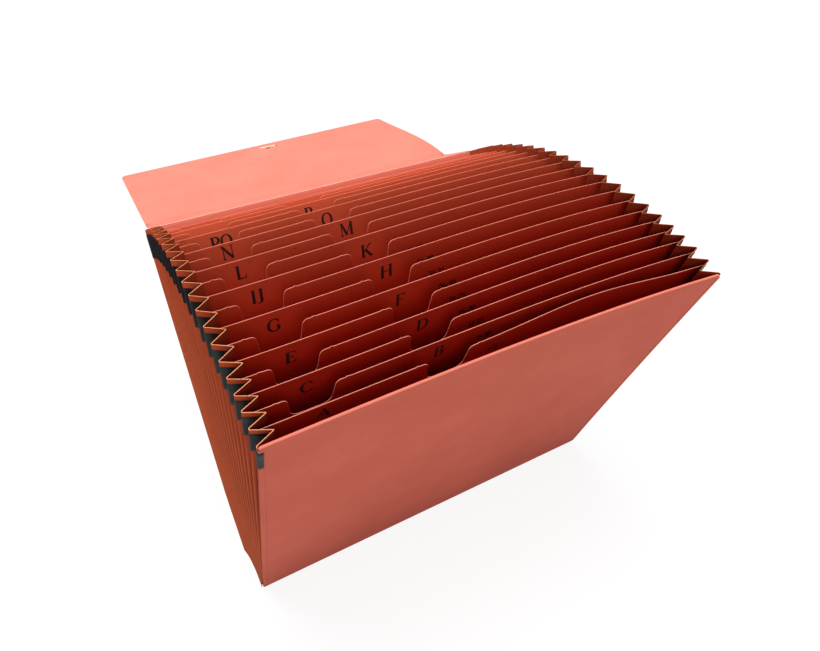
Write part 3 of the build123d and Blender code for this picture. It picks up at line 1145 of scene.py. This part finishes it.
for number, (x, reach, radius) in enumerate(hole_shade_places):
    a, b = np.meshgrid(np.linspace(-1, 1, 9), np.linspace(-1, 1, 9))
    disc_x = x + radius * a * np.sqrt(1 - b**2 / 2)
    disc_reach = reach + radius * b * np.sqrt(1 - a**2 / 2)
    grid = on_flap(flap_place, disc_x, disc_reach, hole_shade_out)
    hole = ribbon(f"flap_hole_shade_{number}", grid, hole_shade_thickness, ink_and_hole_shade, towards=(0, 0, 1))
    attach(hole, "flap")

bar_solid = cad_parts["closure_bar"]
bar_solid.data.materials.clear()
bar_solid.data.materials.append(cream_plastic)

# Stage, light and camera

def seen_directly(tree):
    """1 for what the camera sees, straight, in a reflection or through glass, and 0 for other light."""
    path = node(tree, "ShaderNodeLightPath")
    seen = math_value(tree, "MAXIMUM", path.outputs["Is Camera Ray"], path.outputs["Is Glossy Ray"])
    return math_value(tree, "MAXIMUM", seen, path.outputs["Is Transmission Ray"])


def floor_finish():
    """Pale floor that keeps a faint shadow round the object and turns white further out."""
    material, tree, shader, place = start_material("pale_floor", 0.9, 0.1)
    speck = noise(tree, place, Scale=3, Detail=2)
    tone = mix_colour(tree, speck, (0.9, 0.9, 0.9, 1), (0.93, 0.93, 0.93, 1))
    give(tree, shader, {"Base Color": tone})
    glow = node(tree, "ShaderNodeEmission", {"Color": (1, 1, 1, 1), "Strength": 1.06})
    away = node(tree, "ShaderNodeVectorMath", {0: place}, operation="LENGTH").outputs["Value"]
    far = spread_value(tree, away, 0.25, 0.7, 0.84, 1.0)
    share = math_value(tree, "MULTIPLY", seen_directly(tree), far)
    both = node(tree, "ShaderNodeMixShader", {0: share, 1: shader.outputs[0], 2: glow.outputs[0]})
    tree.links.new(both.outputs[0], tree.nodes["Material Output"].inputs["Surface"])
    return material


floor_half = 6.0
floor_drop = 0.0004
corners = np.array(((-1, -1, 0), (1, -1, 0), (1, 1, 0), (-1, 1, 0))) * floor_half - (0, 0, floor_drop)
table = mesh_piece("table", corners, np.array(((0, 1, 2, 3),)), floor_finish())

world = bpy.data.worlds.new("studio")
bpy.context.scene.world = world
world.use_nodes = True
sky = world.node_tree
sky.nodes.clear()
strength = spread_value(sky, seen_directly(sky), 0, 1, 0.3, 1.0)
back = node(sky, "ShaderNodeBackground", {"Color": (1, 1, 1, 1), "Strength": strength})
node(sky, "ShaderNodeOutputWorld", {"Surface": back.outputs[0]})


def soft_lamp(name, place, aim, size, energy):
    """Square lamp of a given size that faces a point."""
    data = bpy.data.lights.new(name, "AREA")
    data.size = size
    data.energy = energy
    lamp = bpy.data.objects.new(name, data)
    lamp.location = place
    direction = Vector(aim) - Vector(place)
    lamp.rotation_euler = direction.to_track_quat("-Z", "Y").to_euler()
    bpy.context.scene.collection.objects.link(lamp)


soft_lamp("overhead", (-0.1, 0.0, 1.7), (0, 0.05, 0.15), 1.2, 29)
soft_lamp("front_fill", (-0.4, -1.8, 0.6), (0, -0.1, 0.1), 1.2, 8.4)

camera_data = bpy.data.cameras.new("camera")
camera_data.lens = 29.5708
camera_data.sensor_width = 36.0
camera_data.sensor_fit = "HORIZONTAL"
camera = bpy.data.objects.new("camera", camera_data)
camera.location = (-0.195106, -0.461552, 0.449105)
camera.rotation_euler = [math.radians(angle) for angle in (56.36953, 2.46117, -29.4564)]
bpy.context.scene.collection.objects.link(camera)
bpy.context.scene.camera = camera
bpy.context.scene.view_settings.view_transform = "Standard"
